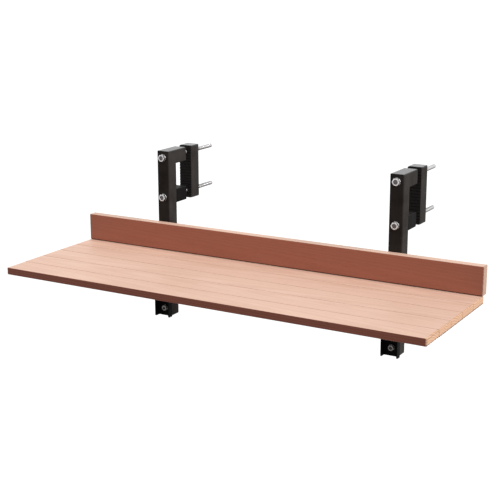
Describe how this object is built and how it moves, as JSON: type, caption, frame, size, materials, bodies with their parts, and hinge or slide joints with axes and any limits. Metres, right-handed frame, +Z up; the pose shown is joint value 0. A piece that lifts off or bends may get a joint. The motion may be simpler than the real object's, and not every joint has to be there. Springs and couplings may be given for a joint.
{
  "type": "folding balcony table",
  "caption": "Narrow slatted table that hangs on a balcony railing: screw clamps on square steel uprights, an upstand board, and a top that folds down on hinged arms with slotted stays.",
  "frame": {"origin": "midway between the two railing clamps, on the plane of the uprights' back faces, which meet the railing, and at mid height of the clamps", "axes": "+X runs along the railing to the right, as seen from the user's side; +Y points from the user to the railing; +Z is up"},
  "size_m": [0.86, 0.4624, 0.3445],
  "materials": {
    "board_wood": "satin",
    "upstand_wood": "satin",
    "black_steel": "satin",
    "zinc_steel": "bright",
    "black_rubber": "matte",
    "black_plastic": "matte"
  },
  "bodies": {
    "frame": {"upstand_board": "upstand_wood", "upstand_screws": "zinc_steel", "left_upright": "black_steel", "right_upright": "black_steel", "left_foot_plug": "black_plastic", "right_foot_plug": "black_plastic", "left_upper_arm": "black_steel", "right_upper_arm": "black_steel", "left_lower_arm": "black_steel", "right_lower_arm": "black_steel", "left_hinge_channel": "black_steel", "right_hinge_channel": "black_steel", "left_bracket_bolts": "zinc_steel", "right_bracket_bolts": "zinc_steel", "left_bracket_washers": "zinc_steel", "right_bracket_washers": "zinc_steel", "left_bracket_nuts": "zinc_steel", "right_bracket_nuts": "zinc_steel", "left_hinge_pin": "zinc_steel", "right_hinge_pin": "zinc_steel", "left_stay_pivot": "zinc_steel", "right_stay_pivot": "zinc_steel"},
    "tabletop": {"board_1": "board_wood", "board_2": "board_wood", "board_3": "board_wood", "board_4": "board_wood", "board_5": "board_wood", "board_screws": "zinc_steel", "left_table_arm": "black_steel", "right_table_arm": "black_steel"},
    "left_stay_link": {"left_stay": "black_steel", "left_stay_bolt": "zinc_steel", "left_stay_spacers": "zinc_steel", "left_stay_washers": "zinc_steel"},
    "left_locking_knob": {"left_knob": "black_plastic"},
    "left_clamp_jaw": {"left_jaw": "black_steel", "left_jaw_pad": "black_rubber", "left_jaw_caps": "black_plastic", "left_jaw_inserts": "zinc_steel"},
    "left_upper_screw": {"left_upper_clamp_screw": "zinc_steel", "left_upper_washer": "zinc_steel"},
    "left_lower_screw": {"left_lower_clamp_screw": "zinc_steel", "left_lower_washer": "zinc_steel"},
    "right_stay_link": {"right_stay": "black_steel", "right_stay_bolt": "zinc_steel", "right_stay_spacers": "zinc_steel", "right_stay_washers": "zinc_steel"},
    "right_locking_knob": {"right_knob": "black_plastic"},
    "right_clamp_jaw": {"right_jaw": "black_steel", "right_jaw_pad": "black_rubber", "right_jaw_caps": "black_plastic", "right_jaw_inserts": "zinc_steel"},
    "right_upper_screw": {"right_upper_clamp_screw": "zinc_steel", "right_upper_washer": "zinc_steel"},
    "right_lower_screw": {"right_lower_clamp_screw": "zinc_steel", "right_lower_washer": "zinc_steel"}
  },
  "joints": [
    {"name": "tabletop_fold", "type": "hinge", "parent": "frame", "child": "tabletop", "pos_m": [0, -0.0365, -0.181], "axis": [1, 0, 0], "range_deg": [0, 90]},
    {"name": "left_stay_swing", "type": "hinge", "parent": "frame", "child": "left_stay_link", "pos_m": [-0.254, -0.0365, -0.251], "axis": [1, 0, 0], "range_deg": [0, 124]},
    {"name": "left_knob_turn", "type": "hinge", "parent": "left_stay_link", "child": "left_locking_knob", "pos_m": [-0.28, -0.13897, -0.171], "axis": [-1, 0, 0], "range_deg": [0, 360]},
    {"name": "left_upper_screw_turn", "type": "hinge", "parent": "frame", "child": "left_upper_screw", "pos_m": [-0.254, -0.0296, 0.0405], "axis": [0, 1, 0], "range_deg": [-18001, 5401]},
    {"name": "left_lower_screw_turn", "type": "hinge", "parent": "frame", "child": "left_lower_screw", "pos_m": [-0.254, -0.0296, -0.0405], "axis": [0, 1, 0], "range_deg": [-18001, 5401]},
    {"name": "left_jaw_slide", "type": "slide", "parent": "frame", "child": "left_clamp_jaw", "axis": [0, 1, 0], "range_m": [-0.01875, 0.0625]},
    {"name": "right_stay_swing", "type": "hinge", "parent": "frame", "child": "right_stay_link", "pos_m": [0.254, -0.0365, -0.251], "axis": [1, 0, 0], "range_deg": [0, 124]},
    {"name": "right_knob_turn", "type": "hinge", "parent": "right_stay_link", "child": "right_locking_knob", "pos_m": [0.28, -0.13897, -0.171], "axis": [1, 0, 0], "range_deg": [0, 360]},
    {"name": "right_upper_screw_turn", "type": "hinge", "parent": "frame", "child": "right_upper_screw", "pos_m": [0.254, -0.0296, 0.0405], "axis": [0, 1, 0], "range_deg": [-18001, 5401]},
    {"name": "right_lower_screw_turn", "type": "hinge", "parent": "frame", "child": "right_lower_screw", "pos_m": [0.254, -0.0296, -0.0405], "axis": [0, 1, 0], "range_deg": [-18001, 5401]},
    {"name": "right_jaw_slide", "type": "slide", "parent": "frame", "child": "right_clamp_jaw", "axis": [0, 1, 0], "range_m": [-0.01875, 0.0625]}
  ],
  "couplings": [
    {"joint": "left_stay_swing", "follows": "tabletop_fold", "ratio": 1.3776},
    {"joint": "left_upper_screw_turn", "follows": "left_jaw_slide", "rad_per_m": -5026.5},
    {"joint": "left_lower_screw_turn", "follows": "left_jaw_slide", "rad_per_m": -5026.5},
    {"joint": "right_stay_swing", "follows": "tabletop_fold", "ratio": 1.3776},
    {"joint": "right_upper_screw_turn", "follows": "right_jaw_slide", "rad_per_m": -5026.5},
    {"joint": "right_lower_screw_turn", "follows": "right_jaw_slide", "rad_per_m": -5026.5}
  ]
}
